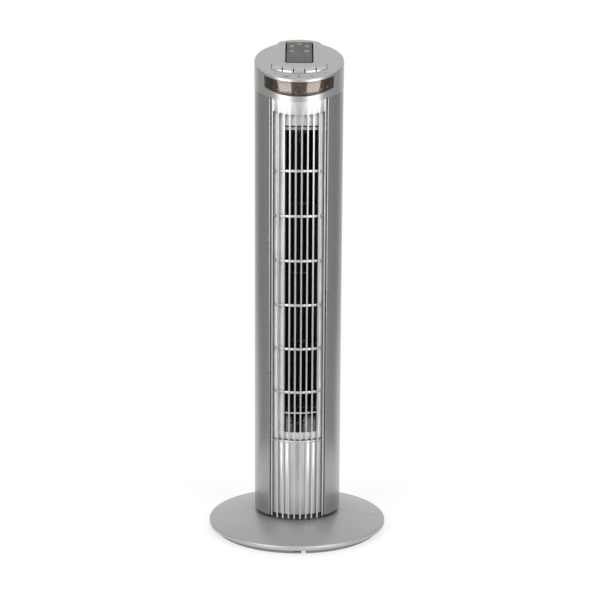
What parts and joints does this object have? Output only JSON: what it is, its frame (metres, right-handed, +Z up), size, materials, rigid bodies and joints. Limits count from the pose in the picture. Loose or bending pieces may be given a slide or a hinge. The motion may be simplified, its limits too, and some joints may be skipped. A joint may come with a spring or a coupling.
{
  "type": "tower fan",
  "caption": "Slim round tower fan on a disc base that swings side to side, with a slotted front grille, a slanted head with piano keys and a docked remote.",
  "frame": {"origin": "on the floor under the tower's axis, at the centre of the base", "axes": "+Z up along the tower, -Y towards the front grille, +X to the right of someone facing the fan"},
  "size_m": [0.279, 0.279, 0.7614],
  "materials": {
    "satin_silver": "satin silver lacquer on ABS",
    "bright_silver": "bright silver lacquer on ABS",
    "deck_silver": "silver lacquer with fine metallic flake",
    "black_plastic": "moulded, matt",
    "remote_grey": "satin moulded",
    "remote_keys": "satin moulded",
    "green_key": "satin moulded",
    "bronze_window": "tinted, glossy",
    "rubber": "matt",
    "steel": "plated",
    "brass": "machined",
    "white_plastic": "acetal, natural",
    "board": "printed circuit laminate"
  },
  "bodies": {
    "base": {"base_front": "satin_silver", "base_rear": "satin_silver", "foot_ring": "satin_silver", "rubber_foot_1": "rubber", "rubber_foot_2": "rubber", "rubber_foot_3": "rubber", "rubber_foot_4": "rubber", "ballast_plate": "steel", "swivel_socket": "white_plastic", "base_screw_1": "steel", "base_screw_2": "steel", "base_screw_3": "steel", "base_screw_4": "steel", "thrust_washer": "brass", "swing_rack": "white_plastic"},
    "tower": {"bottom_plate": "black_plastic", "retaining_ring": "steel", "left_shell": "satin_silver", "right_shell": "satin_silver", "rear_cover": "satin_silver", "front_grille": "bright_silver", "outlet_frame": "bright_silver", "scroll_wall": "black_plastic", "tongue_wall": "black_plastic", "head_cover": "deck_silver", "display_window": "bronze_window", "display_board": "board", "key_board": "board", "ir_receiver": "black_plastic", "upper_bracket": "bright_silver", "bearing_holder": "rubber", "bearing_bush": "brass", "motor_bracket": "steel", "fan_motor": "steel", "motor_mount_1": "rubber", "motor_mount_2": "rubber", "motor_mount_3": "rubber", "swing_motor": "steel", "cord_gland": "rubber", "casing_screw_1": "steel", "casing_screw_2": "steel"},
    "rotor": {"impeller": "black_plastic", "rotor_shaft": "steel", "shaft_coupling": "rubber", "top_pin": "steel"},
    "pinion": {"swing_pinion": "white_plastic"},
    "key_1": {"key_1": "deck_silver"},
    "key_2": {"key_2": "deck_silver"},
    "key_3": {"key_3": "deck_silver"},
    "key_4": {"key_4": "deck_silver"},
    "key_5": {"key_5": "deck_silver"},
    "remote": {"remote_case": "remote_grey", "remote_face": "remote_grey", "battery_cell": "steel", "remote_board": "board"},
    "remote_key_1": {"remote_key_1": "remote_keys"},
    "remote_key_2": {"remote_key_2": "remote_keys"},
    "remote_key_3": {"remote_key_3": "remote_keys"},
    "remote_key_4": {"remote_key_4": "remote_keys"},
    "remote_power_key": {"remote_power_key": "green_key"}
  },
  "joints": [
    {"name": "tower_swing", "type": "hinge", "parent": "base", "child": "tower", "pos_m": [0, 0, 0.0335], "axis": [0, 0, 1], "range_deg": [-35, 35]},
    {"name": "rotor_spin", "type": "hinge", "parent": "tower", "child": "rotor", "pos_m": [0, 0.006, 0.4], "axis": [0, 0, 1], "continuous": true},
    {"name": "pinion_spin", "type": "hinge", "parent": "tower", "child": "pinion", "pos_m": [0, 0.054, 0.031], "axis": [0, 0, 1], "range_deg": [-175.5, 175.5]},
    {"name": "key_1_press", "type": "hinge", "parent": "tower", "child": "key_1", "pos_m": [-0.0332, -0.01768, 0.7181], "axis": [1, 0, 0], "range_deg": [0, 4.5], "stiffness_Nm_per_rad": 0.4, "springref_deg": -5.73},
    {"name": "key_2_press", "type": "hinge", "parent": "tower", "child": "key_2", "pos_m": [-0.0166, -0.0244, 0.71507], "axis": [1, 0, 0], "range_deg": [0, 4.5], "stiffness_Nm_per_rad": 0.4, "springref_deg": -5.73},
    {"name": "key_3_press", "type": "hinge", "parent": "tower", "child": "key_3", "pos_m": [0, -0.02646, 0.71414], "axis": [1, 0, 0], "range_deg": [0, 4.5], "stiffness_Nm_per_rad": 0.4, "springref_deg": -5.73},
    {"name": "key_4_press", "type": "hinge", "parent": "tower", "child": "key_4", "pos_m": [0.0166, -0.0244, 0.71507], "axis": [1, 0, 0], "range_deg": [0, 4.5], "stiffness_Nm_per_rad": 0.4, "springref_deg": -5.73},
    {"name": "key_5_press", "type": "hinge", "parent": "tower", "child": "key_5", "pos_m": [0.0332, -0.01768, 0.7181], "axis": [1, 0, 0], "range_deg": [0, 4.5], "stiffness_Nm_per_rad": 0.4, "springref_deg": -5.73},
    {"name": "remote_lift", "type": "slide", "parent": "tower", "child": "remote", "axis": [0, -0.4419, 0.897], "range_m": [0, 0.06]},
    {"name": "remote_key_1_press", "type": "slide", "parent": "remote", "child": "remote_key_1", "axis": [0, 0.4419, -0.897], "range_m": [0, 0.0007], "stiffness_N_per_m": 300, "springref_m": -0.0006},
    {"name": "remote_key_2_press", "type": "slide", "parent": "remote", "child": "remote_key_2", "axis": [0, 0.4419, -0.897], "range_m": [0, 0.0007], "stiffness_N_per_m": 300, "springref_m": -0.0006},
    {"name": "remote_key_3_press", "type": "slide", "parent": "remote", "child": "remote_key_3", "axis": [0, 0.4419, -0.897], "range_m": [0, 0.0007], "stiffness_N_per_m": 300, "springref_m": -0.0006},
    {"name": "remote_key_4_press", "type": "slide", "parent": "remote", "child": "remote_key_4", "axis": [0, 0.4419, -0.897], "range_m": [0, 0.0007], "stiffness_N_per_m": 300, "springref_m": -0.0006},
    {"name": "remote_power_key_press", "type": "slide", "parent": "remote", "child": "remote_power_key", "axis": [0, 0.4419, -0.897], "range_m": [0, 0.0007], "stiffness_N_per_m": 300, "springref_m": -0.0006}
  ],
  "couplings": [
    {"joint": "pinion_spin", "follows": "tower_swing", "ratio": 5}
  ]
}
